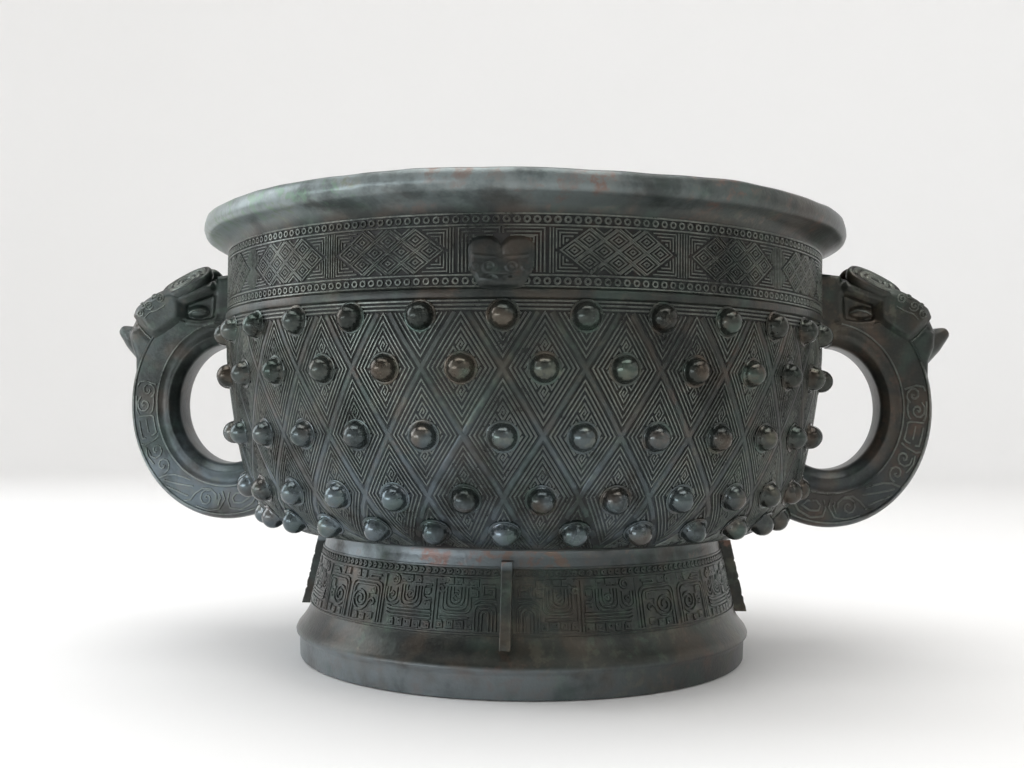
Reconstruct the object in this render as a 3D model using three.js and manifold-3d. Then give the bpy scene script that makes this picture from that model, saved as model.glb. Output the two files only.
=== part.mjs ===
// A two-handled ritual food bowl (gui) of cast bronze, empty and open at the top.
// Ring foot with four flanges, belly set with five rows of pearl bosses on a lozenge field,
// banded neck with a small animal mask front and back, and two loop handles with horned heads.
// It is one casting, so it is one solid. Millimetres, +Z up, origin at the centre of the foot's
// underside, handles along X, a mask facing -Y.
import * as THREE from "three";
import { mergeVertices } from "three/addons/utils/BufferGeometryUtils.js";
import Module from "manifold-3d";

// Driving dimensions
const rimRadius = 120;
const height = 159;
const bellyRadius = 111.3;
const wall = 4;
const footRadius = 83.3;
const footHeight = 45.2;
const footTopRadius = 73.6;
const neckTop = 146.6;
const rounds = 2 * 30;

// Pearl bosses: base heights of the rows, alternate rows stepped by half a spacing
const bossesPerRow = 30;
const bossRows = [117.1, 101.9, 82.2, 64.4, 55];
const bossRadius = 4.1;
const bossRise = 5;
const bossSides = 5;

// Foot flanges
const flangeThickness = 3.6;
const flangeReach = 5;
const flangeBottom = 16;
const flangeTop = 42;

// Neck masks
const maskWidth = 18.6;
const maskHeight = 16;
const maskMiddle = 133;
const maskRise = 3;

// Handles, in their own upright plane: radius from the vessel's axis and height
const loopCentre = new THREE.Vector2(114.4, 92.5);
const loopOuter = new THREE.Vector2(40, 44.5);
const loopInner = new THREE.Vector2(19.5, 23);
const loopWidth = 19;
const muzzleWidth = 23;
const hornCentre = new THREE.Vector2(131.6, 139.4);
const hornLength = 21.2;
const hornBreadth = 15.6;
const hornThickness = 5;
const hornDip = THREE.MathUtils.degToRad(25);
const hornTilt = THREE.MathUtils.degToRad(28);
const snoutTip = new THREE.Vector2(160.9, 122.6);

const wasm = await Module();
wasm.setup();

// Closed solid of a geometry whose shared corners are joined
function solidOf(geometry) {
  const plain = geometry.index ? geometry.toNonIndexed() : geometry.clone();
  plain.deleteAttribute("normal");
  plain.deleteAttribute("uv");
  const joined = mergeVertices(plain, 1e-3);
  const corners = joined.index.array;
  const kept = [];
  for (let i = 0; i < corners.length; i += 3) {
    const [a, b, c] = corners.slice(i, i + 3);
    if (a !== b && b !== c && c !== a) kept.push(a, b, c);
  }
  return new wasm.Manifold(new wasm.Mesh({
    numProp: 3,
    vertProperties: new Float32Array(joined.attributes.position.array),
    triVerts: new Uint32Array(kept),
  }));
}

function geometryOf(solid) {
  const mesh = solid.getMesh();
  const geometry = new THREE.BufferGeometry();
  geometry.setAttribute("position", new THREE.BufferAttribute(mesh.vertProperties.slice(), 3));
  geometry.setIndex(new THREE.BufferAttribute(mesh.triVerts.slice(), 1));
  geometry.computeVertexNormals();
  return geometry;
}

const joinAll = (solids) => solids.reduce((whole, piece) => whole.add(piece));

// A profile of (radius, height) points spun round the upright axis, with a flat side facing -Y
function spun(points, sides) {
  return new THREE.LatheGeometry(points, sides, Math.PI / sides).rotateX(Math.PI / 2);
}

// An outline drawn in (radius, height), stood upright along X and given a thickness across Y
function plate(shape, thickness, bevel, curveSegments) {
  const depth = thickness - 2 * bevel;
  const geometry = new THREE.ExtrudeGeometry(shape, {
    depth,
    bevelEnabled: bevel > 0,
    bevelSize: bevel,
    bevelOffset: -bevel,
    bevelThickness: bevel,
    bevelSegments: 1,
    curveSegments,
  });
  return geometry.translate(0, 0, -depth / 2).rotateX(Math.PI / 2);
}

// Vessel profile, as (radius, height)
const at = (radius, level) => new THREE.Vector2(radius, level);
const ringHeight = 7.6;
const flareTop = at(footRadius - 4, 20);
const shoulder = at(104.6, 69.5);
const side = at(bellyRadius - 0.2, 109.5);
const neck = at(bellyRadius, neckTop);
const lip = at(rimRadius - 1.6, 152.2);
const collar = at(footTopRadius + 0.8, 42.4);

const footFlare = new THREE.QuadraticBezierCurve(
  at(footRadius + 0.9, ringHeight + 4), at(footRadius - 3.4, 16), flareTop);
const belly = new THREE.CubicBezierCurve(
  at(footTopRadius, footHeight), at(89, footHeight + 0.4), at(101, 53), shoulder);
const flank = new THREE.QuadraticBezierCurve(shoulder, at(109.4, 90), side);
const neckFlare = new THREE.QuadraticBezierCurve(neck, at(bellyRadius + 1.6, 150.2), lip);

const outside = [
  at(footRadius, 0),
  at(footRadius + 0.3, ringHeight),
  at(footRadius + 1.5, ringHeight + 1.7),
  ...footFlare.getPoints(2),
  collar,
  ...belly.getPoints(4),
  ...flank.getPoints(2).slice(1),
  ...neckFlare.getPoints(2),
  at(rimRadius, 154.6),
  at(rimRadius - 0.9, height),
];

const innerFloor = at(62, footHeight + 4.9);
const innerShoulder = at(shoulder.x - wall, shoulder.y + 1);
const innerBelly = new THREE.CubicBezierCurve(
  innerFloor, at(84, footHeight + 5.6), at(96, 55), innerShoulder);
const innerFlank = new THREE.QuadraticBezierCurve(
  innerShoulder, at(105.4, 90), at(side.x - wall, side.y));
const innerFlare = new THREE.QuadraticBezierCurve(
  at(bellyRadius - wall, 145), at(bellyRadius - 3, 153), at(rimRadius - 4.6, height));

// The space inside the bowl, running out of its mouth
const inside = [
  ...innerBelly.getPoints(3),
  ...innerFlank.getPoints(2).slice(1),
  ...innerFlare.getPoints(2),
];

// The space inside the ring foot, running out below it
const underside = [
  at(footRadius - wall, 0),
  at(footRadius - wall, ringHeight),
  at(flareTop.x - wall, flareTop.y),
  at(footTopRadius - wall, footHeight - 3),
  at(footTopRadius - 6, footHeight + 0.4),
];

// The outline closed on the axis, past its ends by an overrun
function closed(outline, overrunBelow, overrunAbove) {
  const first = outline[0];
  const last = outline.at(-1);
  const ends = [at(first.x, first.y - overrunBelow), at(last.x, last.y + overrunAbove)];
  const bottom = overrunBelow > 0 ? [ends[0]] : [];
  const top = overrunAbove > 0 ? [ends[1]] : [];
  return [at(0, ends[0].y), ...bottom, ...outline, ...top, at(0, ends[1].y)];
}

function vesselBody() {
  const overrun = 5;
  const block = solidOf(spun(closed(outside, 0, 0), rounds));
  const bowl = solidOf(spun(closed(inside, 0, overrun), rounds / 2));
  const foot = solidOf(spun(closed(underside, overrun, 0), rounds / 3));
  return block.subtract(bowl).subtract(foot);
}

// The outside's radius at a height, and how far its outward normal leans below the level
function outsideAt(level) {
  const above = outside.findIndex((point) => point.y > level);
  const [low, high] = outside.slice(above - 1, above + 1);
  const share = (level - low.y) / (high.y - low.y);
  return {
    radius: low.x + share * (high.x - low.x),
    lean: Math.atan2(high.x - low.x, high.y - low.y),
  };
}

// Moves a geometry made round the +Z axis to stand out from the wall at an angle from the front
function standOnWall(geometry, angle, level) {
  const { radius, lean } = outsideAt(level);
  return geometry
    .rotateX(Math.PI / 2 + lean)
    .translate(0, -radius, level)
    .rotateZ(angle);
}

function boss(angle, level) {
  const root = -1.5;
  const profile = [
    at(0, root),
    at(bossRadius, root),
    at(bossRadius * 0.84, bossRise * 0.62),
    at(0, bossRise),
  ];
  return solidOf(standOnWall(spun(profile, bossSides), angle, level));
}

// A boss is left out where a handle's root or the hand gap behind a loop is
function hidesBehindHandle(row, angle) {
  const aside = Math.abs(Math.cos(angle)) * bellyRadius;
  const reach = row === 0 ? 14 : 6;
  return row !== 4 && aside < reach;
}

function bosses() {
  const spacing = (2 * Math.PI) / bossesPerRow;
  const pieces = [];
  bossRows.forEach((level, row) => {
    for (let place = 0; place < bossesPerRow; place += 1) {
      const angle = (place + (row % 2) / 2) * spacing;
      if (!hidesBehindHandle(row, angle)) pieces.push(boss(angle, level));
    }
  });
  return pieces;
}

// A thin rib down the foot's slope, widening to a hooked toe
function flange(angle) {
  const top = outsideAt(flangeTop).radius;
  const toe = outsideAt(flangeBottom + 4).radius;
  const shape = new THREE.Shape();
  shape.moveTo(top - 2, flangeTop);
  shape.lineTo(toe - 2, flangeBottom);
  shape.lineTo(toe + flangeReach - 1, flangeBottom);
  shape.lineTo(toe + flangeReach + 1, flangeBottom + 2);
  shape.quadraticCurveTo(top + flangeReach + 0.6, (flangeTop + flangeBottom) / 2,
    top + flangeReach - 0.4, flangeTop - 1.5);
  shape.lineTo(top + flangeReach - 2, flangeTop + 0.6);
  return solidOf(plate(shape, flangeThickness, 0, 3).rotateZ(angle));
}

// A small animal face: two round ears with a notch between them, eyes and a bulging muzzle
function mask(angle) {
  const half = maskWidth / 2;
  const top = maskHeight / 2;
  const earRadius = half * 0.5;
  const shape = new THREE.Shape();
  shape.moveTo(-half * 0.62, -top + 1);
  shape.quadraticCurveTo(0, -top - 1.4, half * 0.62, -top + 1);
  shape.lineTo(half, -0.5);
  shape.absarc(half - earRadius, top - earRadius, earRadius, 0, Math.PI * 0.9, false);
  shape.lineTo(0, top - earRadius - 0.5);
  shape.absarc(earRadius - half, top - earRadius, earRadius, Math.PI * 0.1, Math.PI, false);
  shape.lineTo(-half, -0.5);
  const buried = 1.5;
  const face = new THREE.ExtrudeGeometry(shape, {
    depth: buried + maskRise - 1,
    bevelSize: 1.2,
    bevelOffset: -1.2,
    bevelThickness: 1,
    bevelSegments: 1,
    curveSegments: 2,
  });
  const lump = (width, tall, rise, across, up) => new THREE.SphereGeometry(1, 6, 4)
    .scale(width, tall, rise)
    .translate(across, up, buried + maskRise - 0.6);
  const shapes = [
    face,
    lump(2.1, 2.1, 1.5, -half * 0.46, -1.6),
    lump(2.1, 2.1, 1.5, half * 0.46, -1.6),
    lump(4.6, 3.2, 2.8, 0, -top + 2.6),
  ];
  const { radius } = outsideAt(maskMiddle);
  return shapes.map((geometry) => solidOf(geometry
    .rotateX(Math.PI / 2)
    .translate(0, -radius + buried, maskMiddle)
    .rotateZ(angle)));
}

// Side outline of a handle: the loop, the neck from the wall, and the brow sloping to the snout
function handleOutline() {
  const degrees = THREE.MathUtils.degToRad;
  const rootInWall = bellyRadius - 2.2;
  const shape = new THREE.Shape();
  shape.absellipse(loopCentre.x, loopCentre.y, loopOuter.x, loopOuter.y, degrees(-118), degrees(15), false);
  shape.lineTo(152.6, 109.5);
  shape.lineTo(155.4, 115);
  shape.lineTo(155.6, 121);
  shape.lineTo(152.8, 126.6);
  shape.lineTo(149.8, 132.2);
  shape.lineTo(142, 136);
  shape.lineTo(126, 139);
  shape.lineTo(121, 142.4);
  shape.lineTo(rootInWall, 143.6);
  shape.lineTo(rootInWall, loopCentre.y + loopInner.y);
  shape.lineTo(loopCentre.x, loopCentre.y + loopInner.y);
  shape.absellipse(loopCentre.x, loopCentre.y, loopInner.x, loopInner.y, degrees(88), degrees(-122), true);
  return shape;
}

// The handle seen from above: parallel sides that narrow to the snout
function handlePlan() {
  const half = loopWidth / 2;
  const near = loopCentre.x - 30;
  const taperStart = 146;
  const tipHalf = 4.2;
  const shape = new THREE.Shape();
  shape.moveTo(near, -half);
  shape.lineTo(taperStart, -half);
  shape.lineTo(snoutTip.x + 1, -tipHalf);
  shape.lineTo(snoutTip.x + 1, tipHalf);
  shape.lineTo(taperStart, half);
  shape.lineTo(near, half);
  return new THREE.ExtrudeGeometry(shape, { depth: height, bevelEnabled: false });
}

// Blunt upturned knob at the end of the snout
function snout() {
  const root = at(152.5, 118);
  const reach = snoutTip.clone().sub(root);
  const length = reach.length();
  const profile = [
    at(0, 0),
    at(4.6, 0),
    at(1.7, length - 0.9),
    at(0, length),
  ];
  const geometry = spun(profile, 8)
    .scale(1, 1.5, 1)
    .rotateY(Math.PI / 2 - reach.angle())
    .translate(root.x, 0, root.y);
  return solidOf(geometry);
}

// Raised muzzle whose lower edge runs down to the corner of the mouth
function muzzle() {
  const shape = new THREE.Shape();
  shape.moveTo(133.6, 124.7);
  shape.lineTo(144.4, 116.4);
  shape.lineTo(150.6, 121.6);
  shape.quadraticCurveTo(152.8, 130.5, 142.5, 136.4);
  shape.lineTo(134, 136.5);
  return solidOf(plate(shape, muzzleWidth, 3, 4));
}

// An oval horn plate that dips towards the snout and tilts down to its own side of the head
function horn(side) {
  const shape = new THREE.Shape();
  shape.absellipse(0, 0, hornLength / 2, hornBreadth / 2, 0, 2 * Math.PI, false);
  const aside = (hornBreadth / 2) * Math.cos(hornTilt) - 0.6;
  const geometry = plate(shape, hornThickness, 1.4, 5)
    .rotateX(Math.PI / 2)
    .translate(0, 0, -hornThickness / 2)
    .rotateX(-side * hornTilt)
    .rotateY(hornDip)
    .translate(hornCentre.x, side * aside, hornCentre.y);
  return solidOf(geometry);
}

function eye(side) {
  const geometry = new THREE.SphereGeometry(1, 6, 4)
    .rotateX(Math.PI / 2)
    .scale(4, 2, 2.2)
    .rotateY(hornDip / 2)
    .translate(128, side * (loopWidth / 2), 127.6);
  return solidOf(geometry);
}

function handle(turn) {
  const outline = solidOf(plate(handleOutline(), loopWidth, 2.2, 6));
  const loop = outline.intersect(solidOf(handlePlan()));
  const pieces = [loop, snout(), muzzle(), horn(1), horn(-1), eye(1), eye(-1)];
  return joinAll(pieces).rotate([0, 0, turn]);
}

const quarterTurns = [0, 1, 2, 3].map((quarter) => (quarter * Math.PI) / 2);
const vessel = joinAll([
  vesselBody(),
  ...bosses(),
  ...quarterTurns.map(flange),
  ...mask(0),
  ...mask(Math.PI),
  handle(0),
  handle(180),
]);

const bronze = new THREE.MeshStandardMaterial({ color: 0x39403b, roughness: 0.42, metalness: 0.85 });
const gui = new THREE.Mesh(geometryOf(vessel), bronze);
gui.name = "gui_vessel";

const part = new THREE.Group();
part.add(gui);

export default part;
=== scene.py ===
# %% [markdown]
# # A bronze gui bowl
# A gui is a wide food bowl, cast in bronze in one pour: bowl, ring foot, bosses, masks, flanges and the
# two loop handles are one metal. The imported solid gives the size and the main shapes. Here the same
# sizes are repeated in finer meshes, and the cast relief is added: fine raised lines, hundreds of them.
# We start by opening the frame and baking each part's placement into its mesh.

import math

import bmesh
import bpy
import numpy as np
from mathutils import Matrix, Vector, noise
from mathutils.bvhtree import BVHTree


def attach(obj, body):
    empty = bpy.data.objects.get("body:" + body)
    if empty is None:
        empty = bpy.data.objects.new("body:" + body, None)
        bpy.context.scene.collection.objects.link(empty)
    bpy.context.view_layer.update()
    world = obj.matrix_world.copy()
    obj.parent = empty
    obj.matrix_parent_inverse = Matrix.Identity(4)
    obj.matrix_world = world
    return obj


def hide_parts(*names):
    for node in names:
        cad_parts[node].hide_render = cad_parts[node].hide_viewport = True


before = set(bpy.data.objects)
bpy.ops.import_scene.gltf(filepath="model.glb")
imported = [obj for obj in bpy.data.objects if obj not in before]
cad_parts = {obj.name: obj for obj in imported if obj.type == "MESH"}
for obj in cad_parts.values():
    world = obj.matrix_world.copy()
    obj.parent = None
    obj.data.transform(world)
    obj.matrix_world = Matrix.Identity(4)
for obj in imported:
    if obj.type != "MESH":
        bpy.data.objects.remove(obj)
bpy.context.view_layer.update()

# %% [markdown]
# ## The camera
# The picture was taken from close by, a little above the bowl's middle, looking slightly up. A long
# lens far away would flatten the ellipse of the rim, so the distance matters as much as the lens. We
# build the camera's axes from a heading, a small upward pitch and a roll of half a degree.

# %% Set up the camera
MM = 0.001


def camera_at(place, heading, pitch, roll, lens):
    """A camera at a place in millimetres, turned by three angles in degrees."""
    heading, pitch, roll = (math.radians(v) for v in (heading, pitch, roll))
    reach = math.cos(pitch)
    forward = Vector((-math.sin(heading) * reach, math.cos(heading) * reach, math.sin(pitch)))
    level = Vector((math.cos(heading), math.sin(heading), 0))
    upright = level.cross(forward)
    right = level * math.cos(roll) + upright * math.sin(roll)
    up = upright * math.cos(roll) - level * math.sin(roll)
    view = Matrix((right, up, -forward)).transposed().to_4x4()
    view.translation = Vector(place) * MM
    data = bpy.data.cameras.new("camera")
    data.lens = lens
    data.sensor_width = 36
    data.clip_start = 0.01
    camera = bpy.data.objects.new("camera", data)
    camera.matrix_world = view
    bpy.context.scene.collection.objects.link(camera)
    bpy.context.scene.camera = camera
    return camera


camera = camera_at((25.82, -430.73, 86.1), heading=4.01, pitch=1.98, roll=0.49, lens=39.2)
print("camera stands", round((camera.location.xy.length - 0.12) * 1000), "mm from the rim")

# %% [markdown]
# ## Shader maths that reads as sums
# A finish is a web of nodes. Wiring it by hand hides what it does, so one small class wraps a socket:
# adding or multiplying two of them adds the Math node. Any other node comes from its `node` method.

# %% Wrap a socket
class Flow:
    """A value on its way through the nodes of one finish."""

    def __init__(self, tree, socket=None):
        self.tree = tree
        self.socket = socket

    def node(self, kind, settings=None, inputs=None, out=0):
        made = self.tree.nodes.new("ShaderNode" + kind)
        for key, value in (settings or {}).items():
            setattr(made, key, value)
        for key, value in (inputs or {}).items():
            if isinstance(value, Flow):
                self.tree.links.new(value.socket, made.inputs[key])
            else:
                made.inputs[key].default_value = value
        return Flow(self.tree, made.outputs[out])

    def sum(self, operation, first, second):
        return self.node("Math", {"operation": operation}, {0: first, 1: second})

    def __add__(self, other):
        return self.sum("ADD", self, other)

    __radd__ = __add__

    def __sub__(self, other):
        return self.sum("SUBTRACT", self, other)

    def __rsub__(self, other):
        return self.sum("SUBTRACT", other, self)

    def __mul__(self, other):
        return self.sum("MULTIPLY", self, other)

    __rmul__ = __mul__

    def between(self, low, high):
        """0 below low, 1 above high, and smooth between them; low may be the larger one."""
        settings = {"interpolation_type": "SMOOTHSTEP"}
        return self.node("MapRange", settings, {0: self, 1: low, 2: high, 3: 0.0, 4: 1.0})

    def dye(self, colour, share):
        """This colour, changed towards another by a share from 0 to 1."""
        return self.node("Mix", {"data_type": "RGBA"}, {0: share, 6: self, 7: colour}, out=2)


def hue(red, green, blue):
    """A colour as the eye reads it, 0 to 255, turned into the light values that nodes use."""
    light = [((v / 255 + 0.055) / 1.055) ** 2.4 if v > 10 else v / 255 / 12.92 for v in (red, green, blue)]
    return (*light, 1.0)


print("dark bronze in light values:", [round(v, 4) for v in hue(44, 50, 47)])

# %% [markdown]
# ## The patina
# Old bronze is hardly ever bronze in colour. This one has grown a dark grey-green skin, nearly black
# where it was never rubbed, with olive brown on the foot, a pale grey base ring, red-brown copper oxide
# on the collar of the foot and the lip, and a little pale green. Light is painted into the colour as
# well: a painted reflection of the floor as a bluish sheen low on the belly, painted light on the left
# side and on the left of the base ring and the collar, painted shade on the right side, and a painted
# highlight along the lip. One recipe in object coordinates runs on from piece to piece. It has five
# strengths: the plain metal, the ground between the raised lines, darkened for old dirt and as painted
# shade, the belly's bands, and the tops of lines and bosses, which hands have rubbed.

# %% Mix the patina
def patina(name, dirt_and_shade, rub, rough, metal_share, tint=0.3):
    finish = bpy.data.materials.new(name)
    finish.use_nodes = True
    tree = finish.node_tree
    tree.nodes.clear()
    start = Flow(tree)
    place = start.node("TexCoord", out="Object")
    x, z = (start.node("SeparateXYZ", {}, {0: place}, out=axis) for axis in ("X", "Z"))

    def cloud(scale, detail=5.0, rough=0.6, bend=0.0):
        inputs = {"Vector": place, "Scale": scale, "Detail": detail, "Roughness": rough, "Distortion": bend}
        return start.node("TexNoise", {}, inputs)

    broad = cloud(16.0, 3.0, bend=0.4)
    patch = cloud(42.0, 5.0, 0.65, 0.12)
    fleck = cloud(190.0, 3.0, 0.7)
    grain = cloud(900.0, 2.0, 0.6)
    tone = cloud(75.0, 2.0, 0.5)

    colour = start.node("Mix", {"data_type": "RGBA"}, {
        0: broad.between(0.36, 0.64), 6: hue(19, 24, 24), 7: hue(41, 48, 45)}, out=2)
    # Painted reflection: a bluish sheen on the lower belly, standing in for the bright floor reflected
    # there.
    blue = z.between(0.104, 0.056) * z.between(0.045, 0.05)
    colour = colour.dye(hue(96, 109, 120), blue * patch.between(0.3, 0.62) * 0.8)
    # Pale grey on the base ring, with painted light: much paler on the left, as if lit from that side.
    base = z.between(0.0106, 0.0088)
    pale_base_and_left_light = base * (x.between(0.1, -0.06) * 0.7 + 0.15) * (patch.between(0.3, 0.6) * 0.4 + 0.6)
    colour = colour.dye(hue(128, 136, 140), pale_base_and_left_light)
    # Painted light: the left side paler and bluer in patches, as if lit from the left.
    painted_left_light = x.between(-0.02, -0.11)
    colour = colour.dye(hue(100, 110, 112), painted_left_light * patch.between(0.4, 0.62) * 0.3)
    # Painted shade: the right side darker and browner, as if turned away from the light.
    painted_right_shade = x.between(0.01, 0.09)
    colour = colour.dye(hue(32, 31, 26), painted_right_shade * (patch.between(0.36, 0.6) * 0.5 + 0.4))
    flare = z.between(0.0095, 0.0115) * z.between(0.0215, 0.0185)
    colour = colour.dye(hue(52, 51, 44), flare * patch.between(0.3, 0.6) * 0.6)
    colour = colour.dye(hue(82, 64, 50), tone.between(0.5, 0.66) * tint)
    colour = colour.dye(hue(56, 78, 70), tone.between(0.46, 0.32) * tint)
    collar = z.between(0.0392, 0.0405) * z.between(0.0475, 0.0455)
    # Painted light: pale bluish grey on the collar of the foot, full on the left and gone on the right.
    painted_collar_light = collar * x.between(0.09, -0.06) * patch.between(0.28, 0.5)
    colour = colour.dye(hue(124, 134, 140), painted_collar_light * 0.75)
    lip = z.between(0.147, 0.152)
    # Painted highlight: a pale bluish band along the lip, strong on the left and faint on the right.
    painted_lip_highlight = lip * (x.between(0.1, -0.03) * 0.8 + 0.1) * (patch.between(0.34, 0.6) * 0.6 + 0.3)
    colour = colour.dye(hue(140, 151, 152), painted_lip_highlight)
    red = (collar * 0.9 + lip * 0.45 + 0.2) * fleck.between(0.47, 0.64) * patch.between(0.46, 0.62)
    colour = colour.dye(hue(116, 78, 64), red.sum("MINIMUM", red, 0.7))
    green = (lip * x.between(0.0, -0.09) + 0.14) * fleck.between(0.5, 0.64) * broad.between(0.46, 0.58)
    colour = colour.dye(hue(104, 132, 112), green.sum("MINIMUM", green, 0.7))
    # Darker everywhere in random patches, and much darker on the ground between raised lines: partly old
    # dirt, partly painted shade in the hollows there.
    colour = colour.dye(hue(9, 11, 11), (1 - patch.between(0.32, 0.5)) * 0.35 + dirt_and_shade)
    rubbed = grain.between(0.4, 0.75) * 0.4 + 0.2 + patch.between(0.35, 0.62) * 0.6
    colour = colour.dye(hue(140, 146, 138), rubbed * rub)

    gloss = patch * 0.22 + fleck * 0.12 + (rough - 0.17) + dirt_and_shade * 0.25
    pitted = grain * 0.6 + fleck * 0.9
    bump = start.node("Bump", {}, {"Strength": 0.22, "Distance": 0.0006, "Height": pitted})
    metal = patch.between(0.3, 0.7) * 0.2 + (metal_share - 0.1)
    surface = start.node("BsdfPrincipled", {}, {
        "Base Color": colour, "Roughness": gloss, "Metallic": metal, "Normal": bump,
        "Specular IOR Level": 0.36, "Coat Weight": 0.03, "Coat Roughness": 0.28})
    output = tree.nodes.new("ShaderNodeOutputMaterial")
    tree.links.new(surface.socket, output.inputs["Surface"])
    return finish


plain_bronze = patina("plain_bronze", dirt_and_shade=0.0, rub=0.08, rough=0.34, metal_share=0.4)
# The ground finish is dark for old dirt and as painted shade between the raised lines.
ground_bronze = patina("ground_bronze", dirt_and_shade=0.62, rub=0.0, rough=0.45, metal_share=0.15)
line_bronze = patina("line_bronze", dirt_and_shade=0.0, rub=0.5, rough=0.3, metal_share=0.65)
band_bronze = patina("band_bronze", dirt_and_shade=0.12, rub=0.1, rough=0.32, metal_share=0.45)
boss_bronze = patina("boss_bronze", dirt_and_shade=0.0, rub=0.16, rough=0.2, metal_share=0.75, tint=0.5)
print("finishes:", [m.name for m in (plain_bronze, ground_bronze, line_bronze, band_bronze, boss_bronze)])

# %% [markdown]
# ## The turned body
# The bowl and its foot are round about one upright axis, as if turned. In Blender a profile can be spun
# with the Screw modifier, or the rings can be laid by hand. We lay them by hand, because the same
# profile is needed again: every raised line has to know where the skin is and which way it faces.

# %% Draw the profile
def bend(*knots, steps=8):
    """Points along a curve with one or two control points, without its first point."""
    t = np.linspace(0, 1, steps + 1)[1:, None]
    k = [np.array(p, float) for p in knots]
    if len(k) == 3:
        return [*map(tuple, (1 - t) ** 2 * k[0] + 2 * t * (1 - t) * k[1] + t * t * k[2])]
    return [*map(tuple, (1 - t) ** 3 * k[0] + 3 * t * (1 - t) ** 2 * k[1]
                 + 3 * t * t * (1 - t) * k[2] + t ** 3 * k[3])]


outside = [(83.0, 0.0), (83.3, 0.4), (83.6, 7.2), (84.1, 8.3), (84.8, 9.0), (84.9, 9.7), (84.2, 11.2)]
outside += bend((84.2, 11.2), (79.9, 16), (79.3, 20))
outside += [(77.1, 30), (75.2, 38.3), (74.4, 42.4), (74.0, 44), (74.2, 45.2)]
outside += bend((74.2, 45.2), (89, 45.6), (101, 53), (104.6, 69.5), steps=26)
outside += bend((104.6, 69.5), (109.4, 90), (111.1, 109.5), steps=14)
outside += [(111.2, 121.8), (111.9, 122.3), (112.1, 123.4), (111.9, 124.5), (111.2, 125.0)]
outside += [(111.25, 130), (111.3, 146.6)]
outside += bend((111.3, 146.6), (112.9, 150.2), (118.2, 152.0))
outside += [(119.4, 152.9), (120.0, 154.6), (119.9, 156.2), (119.4, 158.0), (118.6, 158.8), (117.6, 159.0)]
inside = [(116.0, 158.9), (115.2, 158.3)]
inside += bend((115.2, 158.3), (108.3, 153), (107.3, 145))
inside += [(107.1, 109.5)] + bend((107.1, 109.5), (105.4, 90), (100.6, 70.5), steps=12)
inside += bend((100.6, 70.5), (96, 55), (84, 50.8), (62, 50.1), steps=20) + [(30, 50.1), (0, 50.1)]
underside = [(0, 45.6), (67.6, 45.6), (69.6, 42.2), (75.3, 20), (79.3, 7.6), (79.3, 0.4), (79.6, 0.0)]
print("profile points:", len(outside), len(inside), len(underside))

# %% Lay the rings
def cast_piece(name, points, faces, finish, crease=38):
    """A mesh of points in millimetres that rides on the vessel and takes its bronze."""
    mesh = bpy.data.meshes.new(name)
    mesh.from_pydata((np.asarray(points, float) * MM).tolist(), [], faces)
    mesh.shade_smooth()
    mesh.set_sharp_from_angle(angle=math.radians(crease))
    mesh.materials.append(finish)
    piece = bpy.data.objects.new(name, mesh)
    bpy.context.scene.collection.objects.link(piece)
    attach(piece, "root")
    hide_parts("gui_vessel")
    mesh.calc_loop_triangles()
    print(name, "has", len(mesh.loop_triangles), "triangles")
    return piece


def gathered(shapes):
    """Points and faces of several shapes as one list of each."""
    points, faces = [], []
    for shape_points, shape_faces in shapes:
        first = len(points)
        points += np.asarray(shape_points, float).tolist()
        faces += [[first + k for k in face] for face in shape_faces]
    return points, faces


def spin(profile, columns):
    """Points and faces of a profile of (radius, height) turned about the axis, closed at radius 0."""
    turn = np.linspace(0, 2 * math.pi, columns, endpoint=False)
    points, rings, faces = [], [], []
    for r, h in profile:
        if r == 0:
            rings.append([len(points)] * columns)
            points.append((0, 0, h))
        else:
            rings.append(range(len(points), len(points) + columns))
            points += zip(r * np.sin(turn), -r * np.cos(turn), [h] * columns)
    for low, high in zip(rings, rings[1:]):
        for i in range(columns):
            j = (i + 1) % columns
            ring = [low[i], low[j], high[j], high[i]]
            faces.append(list(dict.fromkeys(ring)))
    return points, faces


def lip_wobble(points):
    """The lip isn't quite even after three thousand years: its edge sways by a few tenths."""
    points = np.array(points, float)
    near = np.clip((points[:, 2] - 147) / 8, 0, 1)
    sway = np.array([noise.noise(Vector(p) * 0.022) + 0.35 * noise.noise(Vector(p) * 0.09) for p in points])
    points[:, 2] += near * (sway - 0.3) * 0.9
    return points


BODY_COLUMNS = 300
body_points, body_faces = spin(underside + outside + inside, BODY_COLUMNS)
body = cast_piece("vessel_body", lip_wobble(body_points), body_faces, plain_bronze)
# The patterned bands of the wall take the darker ground finish: old dirt and painted shade between the
# raised lines.
body.data.materials.append(ground_bronze)
PATTERNED = ((46.6, 121.8), (125.2, 146.8))
for face in body.data.polygons:
    ring = face.index // BODY_COLUMNS - len(underside)
    middle_height = face.center.z / MM
    if 0 <= ring < len(outside) - 1 and any(low < middle_height < high for low, high in PATTERNED):
        face.material_index = 1
turned = bmesh.new()
turned.from_mesh(body.data)
bmesh.ops.recalc_face_normals(turned, faces=turned.faces)
turned.to_mesh(body.data)
turned.free()

# %% [markdown]
# ## Raised lines
# The founder cut these patterns into the mould, so on the bronze they stand up as thin ridges about a
# third of a millimetre high. A bump map would vanish in profile and in the exported mesh. Displacing the
# whole wall would need millions of faces. A ridge needs only a narrow strip with a flat top along its
# path, sunk a little into the wall, so that is what we make: a path of marks on a surface goes in, and a
# closed strip comes out. Each strip is lower where the bowl has been rubbed.

# %% Find the skin and sweep a ridge
skin_r, skin_z = np.array(outside).T
skin_s = np.concatenate([[0], np.cumsum(np.hypot(np.diff(skin_r), np.diff(skin_z)))])


def along_at(height):
    return np.interp(height, skin_z, skin_s)


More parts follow.
